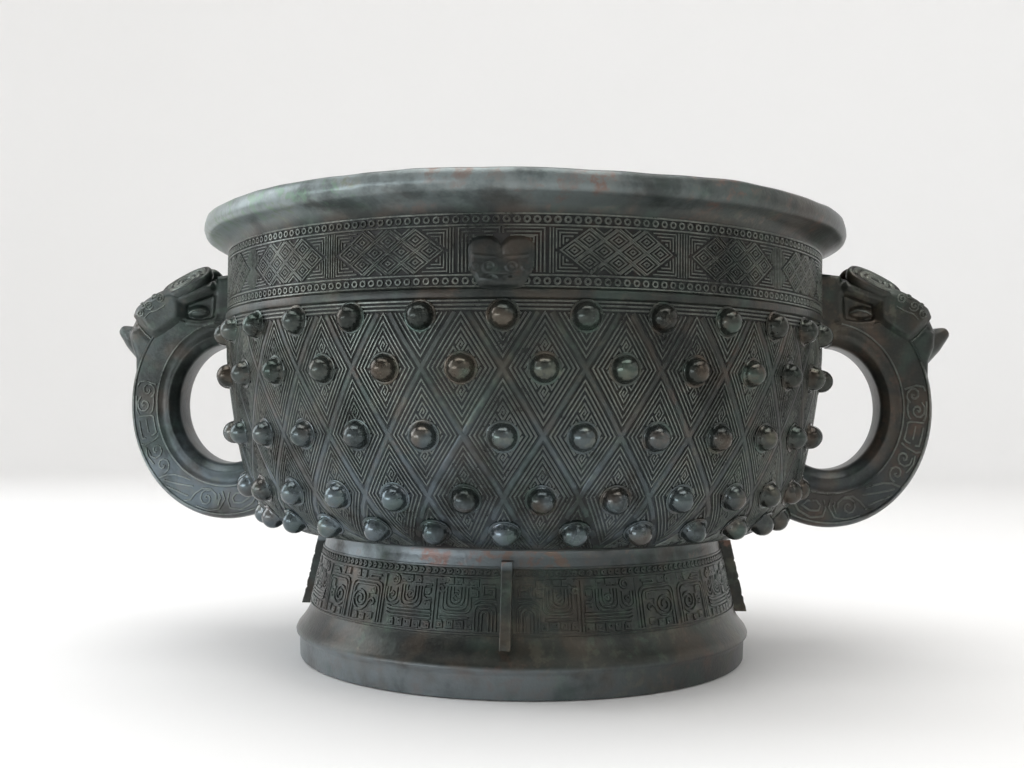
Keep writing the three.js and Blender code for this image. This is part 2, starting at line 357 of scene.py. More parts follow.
def on_skin(turn, along):
    """Points and outward directions on the outside, from turns in degrees and lengths along the profile."""
    turn = np.radians(turn)
    r, h = np.interp(along, skin_s, skin_r), np.interp(along, skin_s, skin_z)
    step = 0.6
    dr = np.interp(along + step, skin_s, skin_r) - np.interp(along - step, skin_s, skin_r)
    dh = np.interp(along + step, skin_s, skin_z) - np.interp(along - step, skin_s, skin_z)
    size = np.hypot(dr, dh)
    out_r, out_h = dh / size, -dr / size
    sin, cos = np.sin(turn), -np.cos(turn)
    return (np.stack([r * sin, r * cos, h], 1), np.stack([out_r * sin, out_r * cos, out_h], 1))


def ridges(paths, place, width=0.55, height=0.34, sink=0.25, wear=0.6):
    """Closed strips along paths of marks. Each path is (marks, whether it closes on itself)."""
    points, faces = [], []
    for marks, closed in paths:
        spot, out = place(np.asarray(marks, float))
        if closed:
            ahead, behind = np.roll(spot, -1, 0) - spot, spot - np.roll(spot, 1, 0)
        else:
            step = np.diff(spot, axis=0)
            ahead, behind = np.vstack([step, step[-1:]]), np.vstack([step[:1], step])
        ahead = ahead / (np.linalg.norm(ahead, axis=1, keepdims=True) + 1e-9)
        behind = behind / (np.linalg.norm(behind, axis=1, keepdims=True) + 1e-9)
        run = ahead + behind
        run = run / (np.linalg.norm(run, axis=1, keepdims=True) + 1e-9)
        corner = np.clip(np.sum(run * ahead, 1), 0.58, 1)[:, None]
        side = np.cross(out, run)
        side = side / (np.linalg.norm(side, axis=1, keepdims=True) + 1e-9) / corner
        rubbed = np.array([noise.noise(Vector(p) * 0.04) for p in spot])[:, None]
        rise = height * (1 - wear * np.clip(rubbed * 1.6 + 0.1, 0, 1))
        base, top = spot - out * sink, spot + out * rise
        section = np.stack([base + side * width * 0.62, top + side * width * 0.3,
                            top - side * width * 0.3, base - side * width * 0.62], 1)
        first, count = len(points), len(spot)
        points += section.reshape(-1, 3).tolist()
        for i in range(count if closed else count - 1):
            a, b = first + 4 * i, first + 4 * ((i + 1) % count)
            faces += [[a + k, a + (k + 1) % 4, b + (k + 1) % 4, b + k] for k in range(4)]
        if not closed:
            last = first + 4 * (count - 1)
            faces += [[first, first + 3, first + 2, first + 1], [last, last + 1, last + 2, last + 3]]
    return points, faces


def finer(marks, step, closed=False):
    """The same path with extra marks, so that none are further apart than step."""
    marks = [np.array(m, float) for m in marks]
    if closed:
        marks.append(marks[0])
    path = []
    for a, b in zip(marks, marks[1:]):
        parts = max(1, math.ceil(np.linalg.norm(b - a) / step))
        path += [a + (b - a) * i / parts for i in range(parts)]
    return np.array(path if closed else path + [marks[-1]])


def kept_between(marks, axis, low, high):
    """The stretches of an open path that lie between two limits."""
    kept, run = [], []
    for a, b in zip(marks, marks[1:]):
        t0, t1 = 0.0, 1.0
        rise = b[axis] - a[axis]
        for limit, sign in ((low, 1), (high, -1)):
            room_a, room_b = sign * (a[axis] - limit), sign * (b[axis] - limit)
            if room_a < 0 and room_b < 0:
                t0, t1 = 1.0, 0.0
            elif room_a < 0:
                t0 = max(t0, (limit - a[axis]) / rise)
            elif room_b < 0:
                t1 = min(t1, (limit - a[axis]) / rise)
        if t1 - t0 > 1e-6:
            if not run or t0 > 0:
                run = [a + (b - a) * t0]
                kept.append(run)
            run.append(a + (b - a) * t1)
            if t1 < 1:
                run = []
        else:
            run = []
    return [(np.array(k), False) for k in kept]


SPIRAL = np.array([(1, 7), (7, 7), (7, 1), (1, 1), (1, 5), (5, 5), (5, 3), (3, 3)]) / 4 - 1


def thunder_spiral(middle, half, quarter=0):
    """The small square spiral of old bronzes, turned by quarters."""
    c, s = [(1, 0), (0, 1), (-1, 0), (0, -1)][quarter % 4]
    turned = SPIRAL @ np.array([[c, s], [-s, c]])
    return np.array(middle) + turned * half


print("skin runs", round(skin_s[-1]), "mm from foot to lip")

# %% [markdown]
# ## The belly's lozenges
# The belly is covered by a net of lozenges, thirty to a round, with plain bands between them. Each has
# three nested outlines and, round its boss, small square spirals. Lozenges are squares in slanted
# coordinates: with u counted round the bowl and v down it, p = u + v and q = u - v, the net is a plain
# grid in p and q. The rows at the top and bottom are cut through the middle. One set of bands stands a
# hair higher than the other, so that their tops don't share a plane where they cross.

# %% Draw the lozenges
ROW_HEIGHTS = [121.3, 101.9, 82.2, 64.4, 47.3]
HALF_TURN = 6.0
BELLY_TOP, BELLY_BOTTOM = 0.17, 3.96


def hand_set(turn):
    """The mould was laid out by eye, so the rows run about a degree ahead in places."""
    turn = (np.asarray(turn, float) + 180) % 360 - 180
    return turn + np.interp(turn, (-60, -38, -15, 0, 15, 42, 68, 90), (0, 0, -0.5, 0.35, 0.95, 1.3, -0.3, 0))


def belly(marks):
    along = np.interp(marks[:, 1], range(5), [along_at(h) for h in ROW_HEIGHTS])
    return on_skin(hand_set(marks[:, 0] * HALF_TURN), along)


def slanted(marks):
    p, q = np.asarray(marks, float).T
    return np.stack([(p + q) / 2, (p - q) / 2], 1)


def lozenge(u, v):
    lines = []
    for gap in (0.17, 0.285, 0.4):
        half = 1 - gap
        square = finer([(half, half), (half, -half), (-half, -half), (-half, half)], 0.4, closed=True)
        lines.append((slanted(square) + (u, v), True))
    for i in (-1, 0, 1):
        for j in (-1, 0, 1):
            if i or j:
                spiral = thunder_spiral((0.36 * i, 0.36 * j), 0.17, i + 2 * j)
                lines.append((slanted(spiral) + (u, v), False))
    return lines


belly_lines = []
for v in range(5):
    for u in range(v % 2, 60, 2):
        for marks, closed in lozenge(u, v):
            if v in (0, 4):
                marks = np.vstack([marks, marks[:1]]) if closed else marks
                belly_lines += kept_between(marks, 1, BELLY_TOP, BELLY_BOTTOM)
            else:
                belly_lines.append((marks, closed))
down = np.linspace(BELLY_TOP, BELLY_BOTTOM, 11)
for name, slant, high in (("falling", -1, 0.40), ("rising", 1, 0.43)):
    paths = [(np.stack([start + slant * down, down], 1), False) for start in range(1, 60, 2)]
    cast_piece("belly_bands_" + name, *ridges(paths, belly, 2.0, high, wear=0.5), band_bronze)
cast_piece("belly_lozenge_lines", *ridges(belly_lines, belly, 0.56, 0.42, wear=0.85), line_bronze)

# %% [markdown]
# ## The bosses
# Five rows of round bosses sit in the lozenges, each a small dome with a thin ring at its foot. They are
# the part that hands touch first, so they are smoother and shinier than the lines. The dome is a short
# profile spun about its own axis and set on the skin, with the skin's outward direction as its axis.

# %% Set the bosses
BOSS_ROWS = [117.1, 101.9, 82.0, 63.4, 53.4]
dome = [(0.0, 5.0), (1.1, 4.85), (2.1, 4.4), (3.0, 3.65), (3.65, 2.7), (4.0, 1.6), (4.1, 0.75), (4.35, 0.45),
        (4.75, 0.5), (5.05, 0.35), (5.15, -0.3), (5.0, -0.8), (0.0, -0.8)]
dome_points, dome_faces = spin(dome[::-1], 20)
dome_points = np.array(dome_points)


def boss_turns(row):
    """Where a row has bosses: thirty to a round, left out where the handles are."""
    for i in range(30):
        turn = (i + 0.5 * (row % 2)) * 12
        clear = abs(math.cos(math.radians(turn))) * 111.3
        if clear >= (14 if row == 0 else 6 if row < 4 else 0):
            yield turn


boss_shapes = []
for row, height in enumerate(BOSS_ROWS):
    for turn in boss_turns(row):
        turn = float(hand_set(turn))
        spot, out = (v[0] for v in on_skin(np.array([turn]), np.array([along_at(height)])))
        right = np.array([math.cos(math.radians(turn)), math.sin(math.radians(turn)), 0])
        boss_shapes.append((spot + dome_points @ np.array([right, np.cross(out, right), out]), dome_faces))
cast_piece("boss_domes", *gathered(boss_shapes), boss_bronze, crease=50)

# %% [markdown]
# ## The neck's bands
# Round the neck run two chains of small rings between plain lines, and between them a row of panels.
# Each panel is a small net of nested lozenges that ends in a point at either side, with nested corners
# left over. We draw one panel flat, in millimetres, and bend copies round the neck.

# %% Draw the chains and the rings round the neck
NECK_RADIUS = 111.3


def round_neck(marks):
    """Marks are degrees round the bowl and height in millimetres."""
    return on_skin(marks[:, 0], along_at(marks[:, 1]))


def whole_round(height, steps=180):
    turns = np.linspace(0, 360, steps, endpoint=False)
    return (np.stack([turns, np.full(steps, height)], 1), True)


def chain(height, count, size, radius):
    """A row of small rings round the vessel, each drawn as a short closed path."""
    wide = math.degrees(size / radius)
    bead = [(wide * math.cos(t), size * math.sin(t)) for t in np.linspace(0, 2 * math.pi, 8, endpoint=False)]
    return [(np.array(bead) + (360 * (i + 0.5) / count, height), True) for i in range(count)]


neck_rings = [whole_round(h) for h in (118.9, 120.1, 121.3, 125.4, 128.7, 143.2, 146.6)]
neck_rings += chain(127.0, 236, 0.85, NECK_RADIUS) + chain(144.9, 236, 0.85, NECK_RADIUS)
cast_piece("neck_band_lines", *ridges(neck_rings, round_neck, 0.66, 0.46, wear=0.4), line_bronze)

# %% Draw the panels
PANEL_HALF_HEIGHT = 6.6
PANEL_MIDDLE = 136.0
LOZENGE_HALF = np.array([4.4, 3.3])


def panel(half_width):
    """Nested lozenges, corners and half lozenges of one neck panel, flat and about its middle."""
    lines = []
    corners = np.array([(1, 0), (0, 1), (-1, 0), (0, -1)])
    reach = int(half_width // LOZENGE_HALF[0]) - (half_width % LOZENGE_HALF[0] < 1.2)
    point = reach * LOZENGE_HALF[0]
    for row in (-1, 0, 1):
        for i in range(-reach, reach + 1):
            if (i + row + reach) % 2 == 0 or abs(i) + abs(row) >= reach:
                continue
            middle = np.array([i, row]) * LOZENGE_HALF
            for share in (0.9, 0.56, 0.2):
                lines.append((middle + LOZENGE_HALF * share * corners, True))
    for row in (-2, 2):
        for i in range(-reach + 2, reach - 1):
            if (i + row + reach) % 2:
                middle = np.array([i, row]) * LOZENGE_HALF
                for share in (0.9, 0.55):
                    tip = LOZENGE_HALF * share
                    lines.append((middle + [(-tip[0], 0), (0, -np.sign(row) * tip[1]), (tip[0], 0)], False))
    for side in (-1, 1):
        for up in (-1, 1):
            for gap in (0.5, 1.5, 2.5, 3.5):
                x, y = half_width - gap, PANEL_HALF_HEIGHT - gap
                slope = LOZENGE_HALF[1] / LOZENGE_HALF[0]
                low = (point - x) * slope + 0.9
                left = point - y / slope + 1.4
                if left < x and low < y:
                    corner = [(left, y), (x, y), (x, max(low, 0.5))]
                    lines.append((np.array(corner) * (side, up), False))
    for x in (half_width + 0.4, half_width + 1.3):
        for side in (-1, 1):
            lines.append((np.array([(x, -PANEL_HALF_HEIGHT), (x, PANEL_HALF_HEIGHT)]) * (side, 1), False))
    return lines


def beside_mask():
    """Nested corners and small spirals that fill the gap between the mask and the first panel."""
    lines = []
    for gap in (0, 1.1, 2.2):
        for side in (-1, 1):
            lines.append((np.array([(0.4 + gap, 6.4 - gap), (12.5 - gap, 6.4 - gap), (12.5 - gap, -6.4)])
                          * (side, 1), False))
    lines += [(np.array([(x, 4.9), (x, 6.9)]), False) for x in (-0.5, 0.5)]
    for side in (-1, 1):
        for y in (-4.6, -0.9, 2.6):
            lines.append((thunder_spiral((side * 8.2, y), 1.5, 1 + side), False))
    return lines


def bent_round(lines, centre):
    """Flat lines in millimetres, as degrees round the neck and heights."""
    degree = math.radians(1) * NECK_RADIUS
    return [(finer(marks, 4.5, closed) / (degree, 1) + (centre, PANEL_MIDDLE), closed)
            for marks, closed in lines]


panel_lines = []
for start, end in ((7.0, 28.4), (28.4, 49.8), (49.8, 71.2), (71.2, 84.0)):
    half_width = math.radians((end - start) / 2) * NECK_RADIUS - 1.8
    middle = (start + end) / 2
    for centre in (middle, 180 - middle, 180 + middle, -middle):
        panel_lines += bent_round(panel(half_width), centre)
for centre in (0, 180):
    panel_lines += bent_round(beside_mask(), centre)
cast_piece("neck_panel_lines", *ridges(panel_lines, round_neck, 0.48, 0.42, wear=0.4), line_bronze)

# %% [markdown]
# ## The masks
# A small animal mask sits on the neck at the front and at the back: two round lobes for ears, a brow
# line, ring eyes, curls at the sides and a full muzzle with nostrils. At this size a mask is best made
# as a height map: a fine grid whose rise is worked out from a few domes, rings and dents, wrapped on
# the neck, with a skirt sunk into the wall so that it is a closed piece of metal.

# %% Raise the masks
def mask_rise(x, y):
    """Height of the mask over the neck, in millimetres, from its middle."""
    side = abs(x)

    def dome(cx, cy, rx, ry, top):
        return top * np.sqrt(np.clip(1 - ((side - cx) / rx) ** 2 - ((y - cy) / ry) ** 2, 0, 1))

    def dent(cx, cy, rx, ry, deep):
        return deep * np.exp(-((side - cx) / rx) ** 2 - ((y - cy) / ry) ** 2)

    def ring(cx, cy, radius, high):
        away = np.hypot(side - cx, (y - cy) * 1.1)
        return high * np.exp(-((away - radius) / 0.3) ** 2) + high * np.exp(-(away / 0.5) ** 2)

    crown = 3.5 + 4.3 * np.sqrt(np.clip(1 - ((side - 5.1) / 5.3) ** 2, 0, 1))
    lobe = np.clip((crown - y) / 1.8, 0, 1) * np.clip((10.3 - side) / 1.8, 0, 1) * np.clip(y + 0.8, 0, 1)
    lobe = np.sqrt(lobe) * (1.15 + dome(5.1, 2.6, 4.6, 4.6, 0.6))
    box = np.clip((9.9 - side - np.clip(-y - 2, 0, 9) * 0.5) / 2.0, 0, 1) * np.clip((1.4 - y) / 1.2, 0, 1)
    face = 1.7 * np.sqrt(box) * np.clip((y + 8.4) / 2.0, 0, 1) ** 0.5
    muzzle = dome(0, -5.6, 7.4, 2.9, 2.9)
    brow = 0.35 * np.exp(-((y - 0.75 - 0.02 * side * side / 2) / 0.35) ** 2) * (side < 8.2) * (side > 0.5)
    rise = np.maximum(np.maximum(lobe, face), muzzle)
    rise = rise + brow + ring(3.3, -2.0, 1.6, 0.7) + ring(7.2, -2.1, 0.95, 0.5)
    return rise - dent(2.9, -5.0, 0.9, 0.35, 1.0) - dent(1.5, -5.5, 0.5, 0.3, 0.6) - 0.25


MASK_MIDDLE = 133


def mask(turn, name):
    columns, rows = 98, 88
    x, y = np.meshgrid(np.linspace(-10.9, 10.9, columns), np.linspace(-9.0, 8.6, rows))
    rise = mask_rise(x, y)
    for _ in range(2):
        rise[1:-1, 1:-1] = (rise[1:-1, 1:-1] * 2 + rise[:-2, 1:-1] + rise[2:, 1:-1]
                            + rise[1:-1, :-2] + rise[1:-1, 2:]) / 6
    height = MASK_MIDDLE + y.ravel()
    spot, out = round_neck(np.stack([turn + np.degrees(x / NECK_RADIUS).ravel(), height], 1))
    out[:, 2] = 0
    spot[:, 2] = height
    points = (spot + out * (rise.ravel() - 0.15)[:, None]).tolist()
    number = np.arange(columns * rows).reshape(rows, columns)
    faces = np.stack([number[:-1, :-1], number[:-1, 1:], number[1:, 1:], number[1:, :-1]], -1)
    faces = faces.reshape(-1, 4).tolist()
    edge = [*number[0, :-1], *number[:-1, -1], *number[-1, :0:-1], *number[:0:-1, 0]]
    first = len(points)
    points += [(np.array(points[k]) - out[k] * 1.6).tolist() for k in edge]
    count = len(edge)
    for i in range(count):
        j = (i + 1) % count
        faces.append([int(edge[i]), first + i, first + j, int(edge[j])])
    faces.append([first + i for i in range(count)][::-1])
    return cast_piece(name, points, faces, plain_bronze, crease=60)


mask(0, "front_mask")
mask(180, "back_mask")

# %% [markdown]
# ## The frieze on the foot
# On the foot, dragons in profile face the flanges, drawn in flowing double lines with square spirals
# filling the ground. One dragon takes an eighth of the round. We draw it once, in degrees and
# millimetres, from a few strokes: nested arches, spirals, bars and hooks. Mirrored copies do the rest.

# %% Draw one dragon
FOOT_DEGREE = math.radians(1) * 77.0


def arch(left, right, top, bottom, lines, pitch=1.15, up=True):
    """Nested arches with round shoulders, open below, or above when up is false."""
    made = []
    for k in range(lines):
        a, b = left + k * pitch, right - k * pitch
        if b - a < 1.0:
            break
        crown, foot = (top - k * pitch, bottom) if up else (bottom + k * pitch, top)
        turn = -1 if up else 1
        soft = min(1.8, (b - a) / 2.2)
        start, shoulder = crown + turn * soft, crown + turn * soft * 0.3
        made.append([(a, foot), (a, start), (a + soft * 0.35, shoulder), (a + soft, crown),
                     (b - soft, crown), (b - soft * 0.35, shoulder), (b, start), (b, foot)])
    return made


def curl(middle, radius, turns, start=0.0, steps=9):
    """A round spiral from the outside in."""
    t = np.linspace(0, 1, max(6, int(turns * steps)) + 1)
    reach = radius * (1 - 0.82 * t)
    angle = np.radians(start) + 2 * math.pi * turns * t
    return np.stack([middle[0] + reach * np.cos(angle), middle[1] + reach * np.sin(angle)], 1)


strokes = []
strokes += arch(3.4, 10.2, 29.4, 20.4, 3)
strokes += [thunder_spiral((10.4, z), 1.35, k) for k, z in enumerate((33.2, 36.4))]
strokes += arch(11.6, 21.0, 35.0, 26.4, 4, up=False)
strokes += [thunder_spiral((12.6 + 3.0 * k, 37.0), 1.05, k) for k in range(4)]
strokes += [thunder_spiral((11.4 + 3.4 * k, 22.3), 1.4, k + 1) for k in range(4)]
strokes += [[(22.6, 37.6), (22.6, 20.4)], [(23.9, 37.6), (23.9, 20.4)]]
strokes += [[(25.0, 35.2), (27.3, 35.2), (27.9, 34.2), (27.9, 31.2), (26.6, 30.2), (25.0, 30.4)]]
strokes += arch(28.9, 36.4, 34.6, 27.4, 3, up=False)
strokes += [thunder_spiral((30.2 + 3.2 * k, 36.9), 1.2, k) for k in range(2)]
strokes += arch(37.0, 42.4, 33.4, 27.6, 3, up=False)
strokes += [[(24.6, z), (39.6, z), (41.4, z + 0.7)] for z in (26.2, 25.0, 23.8)]
strokes += [thunder_spiral((26.0 + 3.3 * k, 21.6), 1.3, k) for k in range(5)]
strokes += [[(43.4, 37.8), (43.4, 20.4)]]
strokes += arch(44.6, 59.2, 34.4, 20.4, 2)
strokes += [[(45.6, 36.8), (50.2, 36.8), (51.0, 36.0)]]
strokes += [[(3.2, 30.8), (8.6, 30.8), (10.4, 29.6)], [(12.0, 24.6), (21.4, 24.6)]]
strokes += [[(46.4, 35.6), (52.0, 35.6)]]
for x, z, half, quarter in (
        (5.8, 34.0, 2.5, 0), (54.2, 36.7, 1.2, 2), (48.6, 22.3, 1.2, 1), (52.0, 21.6, 1.1, 2),
        (57.4, 36.8, 1.2, 0), (48.4, 31.4, 1.3, 3), (55.6, 21.9, 1.2, 0), (26.3, 33.0, 1.0, 1),
        (26.2, 28.2, 1.3, 2), (20.0, 37.4, 0.9, 1), (35.6, 36.9, 1.1, 1)):
    strokes.append(thunder_spiral((x, z), half, quarter))
for x, z, *sizes in (
        (21.6, 34.4, 1.5, 1.2, 180), (39.2, 36.0, 1.9, 1.7, 90), (54.4, 27.8, 4.4, 2.2, 150, 11),
        (48.4, 27.2, 1.5, 1.1, 0), (32.6, 31.6, 1.3, 1.3, 0), (16.3, 32.2, 1.5, 1.3, 60),
        (39.7, 31.0, 0.9, 1.0)):
    strokes.append(curl((x, z), *sizes))
print("strokes in one dragon:", len(strokes))

# %% Run it round the foot
def round_foot(marks):
    return on_skin(marks[:, 0], along_at(marks[:, 1]))


FRIEZE_FOOT = 19.3
FRIEZE_SQUEEZE = 0.9
foot_lines = [whole_round(h, 150) for h in (FRIEZE_FOOT, 36.8, 39.7)]
foot_lines += chain(38.25, 190, 0.6, 75)
for quarter in range(4):
    for mirror in (1, -1):
        for stroke in strokes:
            marks = finer(np.asarray(stroke, float), 4.0) - (0, FRIEZE_FOOT)
            marks = marks * (1 / FOOT_DEGREE, FRIEZE_SQUEEZE) + (0, FRIEZE_FOOT)
            foot_lines.append((marks * (mirror, 1) + (90 * quarter, 0), False))
cast_piece("foot_frieze_lines", *ridges(foot_lines, round_foot, 0.9, 0.5, wear=0.4), plain_bronze)

# %% [markdown]
# ## The flanges
# Four upright fins divide the foot. They hide the joints of the mould, so their edges are rough and
# nicked. Each is a thin plate cut to the foot's slope with a rough outer edge, notched on the two at the
# sides.

# %% Cut the flanges
flange_points, flange_faces = [], []
for turn in (0, 90, 180, 270):
    outer = []
    for k, z in enumerate(np.linspace(15.6, 42.2, 40)):
        nick = 0.35 if k in (9, 18, 28) and turn % 180 else 0.0
        rough = 0.25 * noise.noise(Vector((turn, z * 0.6, 3)))
        outer.append((np.interp(z, (15.6, 19, 42.2), (85.4, 84.4, 79.2)) - nick + rough, z))
    inner = [(np.interp(z, skin_z, skin_r) - 1.5, z) for _, z in outer]
    sin, cos = math.sin(math.radians(turn)), -math.cos(math.radians(turn))
    sections = [(-1.75, 0.35), (-1.45, 0.0), (1.45, 0.0), (1.75, 0.35)]
    first, count = len(flange_points), len(outer)
    for (r, z), (r0, _) in zip(outer, inner):
        row = [(r0, -1.75)] + [(r - cut, w) for w, cut in sections] + [(r0, 1.75)]
        flange_points += [(rr * sin - w * cos, rr * cos + w * sin, z) for rr, w in row]
    for k in range(count - 1):
        a, b = first + 6 * k, first + 6 * (k + 1)
        flange_faces += [[a + i, a + (i + 1) % 6, b + (i + 1) % 6, b + i] for i in range(6)]
    flange_faces += [[first + i for i in range(6)][::-1], [first + 6 * (count - 1) + i for i in range(6)]]
cast_piece("foot_flanges", flange_points, flange_faces, plain_bronze)

# %% [markdown]
# ## The handles' loops
# Each handle is a loop that leaves the belly low down and comes back to the neck as an animal's head.
# Its sides are stepped: a bevel round the finger hole, a bead, a smooth hollow, a flat field for
# scrolls between two thin lines, and a bevel outside. A profile swept round an oval gives all of it.
# Towards the head the band grows narrower, because the head takes over its outer part.

# %% Sweep the loops
LOOP_MIDDLE = np.array([114.4, 92.5])
INNER_OVAL = np.array([19.5, 23.0])
OUTER_OVAL = np.array([38.3, 44.5])
HALF_LOOP = [(0.0, 0.0), (0.0, 4.6), (0.012, 6.3), (0.05, 7.6), (0.14, 8.85), (0.16, 9.25), (0.185, 9.25),
             (0.205, 8.9), (0.30, 8.6), (0.385, 8.85), (0.40, 9.25), (0.42, 9.25), (0.435, 8.85),
             (0.66, 8.95), (0.885, 8.85), (0.90, 9.25), (0.92, 9.25), (0.935, 8.8), (0.975, 7.6),
             (1.0, 5.6), (1.006, 0.0)]
FIELD_START = 0.43


def loop_spot(angle, share):
    """Where a share of the band's width, from hole to outside, lies at an angle round the loop."""
    angle, share = np.radians(angle), np.asarray(share)
    oval = INNER_OVAL + (OUTER_OVAL - INNER_OVAL) * share[..., None]
    return LOOP_MIDDLE + oval * np.stack([np.cos(angle), np.sin(angle)], -1)


def both_sides(points):
    """The right-hand handle's points, and the same turned half round for the left-hand one."""
    points = np.asarray(points, float)
    return points, points * (-1, -1, 1)


section = HALF_LOOP + [(s, -w) for s, w in HALF_LOOP[-2:0:-1]]
angles = np.linspace(-121, 86, 110)
loop_points = []
for angle in angles:
    narrow = np.clip((angle - 46) / 22, 0, 1)
    width = 1 - 0.96 * narrow * narrow * (3 - 2 * narrow)
    for share, side in section:
        x, z = loop_spot(angle, np.array(min(share, FIELD_START) + max(share - FIELD_START, 0) * width))
        loop_points.append((x, side, z))
rim = len(section)
loop_faces = []
for k in range(len(angles) - 1):
    a, b = k * rim, (k + 1) * rim
    loop_faces += [[a + i, a + (i + 1) % rim, b + (i + 1) % rim, b + i] for i in range(rim)]
loop_faces += [list(range(rim))[::-1], [rim * (len(angles) - 1) + i for i in range(rim)]]
for points, side in zip(both_sides(loop_points), ("right", "left")):
    cast_piece(side + "_handle_loop", points, loop_faces, plain_bronze, crease=50)

# %% [markdown]
# ## The heads
# Over each loop is a head with oval horns lying flat on top, a brow and a sunken eye under the horn, a
# square muzzle with a sharp lip line and a turned-up snout. Forms that run into each other like this are
# quick to make from simple closed shapes that overlap: a voxel Remesh turns them into one skin and a
# Smooth softens the joins, as the wax of the model would be softened by hand.

# %% Make the shapes of a head
def inset(outline, gap):
    """An outline drawn in by a gap, corner by corner."""
    outline = np.array(outline, float)
    ahead, behind = np.roll(outline, -1, 0) - outline, outline - np.roll(outline, 1, 0)
    normal = [np.stack([-d[:, 1], d[:, 0]], 1) / np.linalg.norm(d, axis=1, keepdims=True)
              for d in (ahead, behind)]
    mid = normal[0] + normal[1]
    mid /= np.linalg.norm(mid, axis=1, keepdims=True)
    return outline + mid * gap / np.clip(np.sum(mid * normal[0], 1), 0.5, 1)[:, None]


def slab(outline, half, soft):
    """A plate with softened edges, from an outline of (radius, height) that runs anticlockwise."""
    drawn_in = inset(outline, soft)
    rings = [(drawn_in, -half), (outline, soft - half), (outline, half - soft), (drawn_in, half)]
    count = len(outline)
    points = [(x, y, z) for ring, y in rings for x, z in ring]
    faces = []
    for a in range(0, 3 * count, count):
        b = a + count
        faces += [[a + i, b + i, b + (i + 1) % count, a + (i + 1) % count] for i in range(count)]
    return points, faces + [list(range(count)), [3 * count + i for i in range(count)][::-1]]


def ball(middle, size, columns=24):
    """An egg shape with its own three sizes."""
    profile = [(0, -1)] + [(math.cos(t), math.sin(t)) for t in np.radians(np.arange(-75, 76, 15))] + [(0, 1)]
    points, faces = spin(profile, columns)
    return np.array(points) * size + middle, faces


def cone(root, tip, wide, narrow, spread):
    """A blunt tapering knob from root to tip, in the handle's upright plane."""
    root, tip = np.array(root, float), np.array(tip, float)
    run = (tip - root) / np.linalg.norm(tip - root)
    across = np.array([-run[1], run[0]])
    points, faces = [], []
    columns = 20
    rings = [(0, wide), (0.5, (wide + narrow) / 2 + 0.3), (0.86, narrow * 1.15), (0.97, narrow * 0.8),
             (1.0, narrow * 0.3)]
    for share, radius in rings:
        centre = root + (tip - root) * share
        for t in np.linspace(0, 2 * math.pi, columns, endpoint=False):
            x, z = centre + across * radius * math.sin(t)
            points.append((x, radius * spread * math.cos(t), z))
    last = columns * (len(rings) - 1)
    for a in range(0, last, columns):
        b = a + columns
        faces += [[a + i, a + (i + 1) % columns, b + (i + 1) % columns, b + i] for i in range(columns)]
    return points, faces + [list(range(columns))[::-1], [last + i for i in range(columns)]]


def fuse(name, shapes, voxel, rounds):
    """One skin round overlapping shapes, softened, as points and faces in millimetres."""
    points, faces = gathered(shapes)
    mesh = bpy.data.meshes.new(name)
    mesh.from_pydata(points, [], faces)
    made = bpy.data.objects.new(name, mesh)
    bpy.context.scene.collection.objects.link(made)
    skin = made.modifiers.new("skin", "REMESH")
    skin.mode = "VOXEL"
    skin.voxel_size = voxel
    soft = made.modifiers.new("soft", "SMOOTH")
    soft.factor = 0.5
    soft.iterations = rounds
    fused = bpy.data.meshes.new_from_object(made.evaluated_get(bpy.context.evaluated_depsgraph_get()))
    points = np.array([v.co for v in fused.vertices])
    faces = [list(p.vertices) for p in fused.polygons]
    bpy.data.objects.remove(made)
    bpy.data.meshes.remove(mesh)
    bpy.data.meshes.remove(fused)
    return points, faces


skull = [(107.6, 116.5), (118, 117.2), (128, 115), (137, 110.5), (144, 104), (149.5, 98), (151.0, 107.0),
         (151.0, 112.0), (153.6, 116.0), (154.4, 121.0), (152.2, 126.0), (150.0, 129.6), (144.0, 134.2),
         (126.0, 139.6), (118.1, 142.0), (107.6, 143.4)]
neck = [(107.6, 117.5), (116, 118.6), (120.4, 121.6), (120.6, 127), (120.2, 133), (119.4, 142.0),
        (107.6, 143.4)]
muzzle = [(131.2, 124.8), (135.4, 121.2), (140.0, 118.2), (143.8, 116.4), (147.0, 119.4), (150.4, 123.6),
          (152.4, 126.4), (151.0, 129.8), (147.4, 132.8), (143.4, 135.3), (139.0, 137.2), (133.0, 138.4),
          (131.0, 131.0)]
brow = [(118.4, 138.0), (119.0, 135.4), (124.0, 133.4), (130.0, 131.2), (136.0, 129.6), (138.6, 130.8),
        (138.4, 133.4), (132.0, 136.8), (126.0, 139.0), (121.0, 140.2)]
lid = [(118.0, 121.6), (125.0, 121.4), (131.6, 122.0), (131.4, 125.4), (126.0, 124.8), (121.4, 125.4),
       (117.6, 127.4)]
cheek = [(126, 119.5), (133, 115.5), (140, 109), (146, 102.5), (149.2, 97.5), (151.0, 103), (151.2, 110),
         (153, 115), (153.6, 120.5), (150.0, 122.4), (144.0, 117), (139, 120), (133.4, 124)]
shapes = [slab(skull, 6.4, 1.6), slab(neck, 8.9, 1.4), slab(muzzle, 11.0, 3.0), slab(brow, 10.6, 2.2)]
shapes += [slab(lid, 9.3, 0.8), slab(cheek, 8.3, 1.2), cone((148.6, 114.8), (160.4, 122.0), 7.0, 2.3, 1.1)]
shapes += [ball((126.6, side * 6.3, 128.2), (4.4, 1.8, 2.4)) for side in (-1, 1)]
head_points, head_faces = fuse("head", shapes, 0.5, 9)
print("head skin:", len(head_points), "points")

# %% Lay the horns on and cast the heads
HORN_DIP = math.radians(27)
HORN_TILT = math.radians(36)


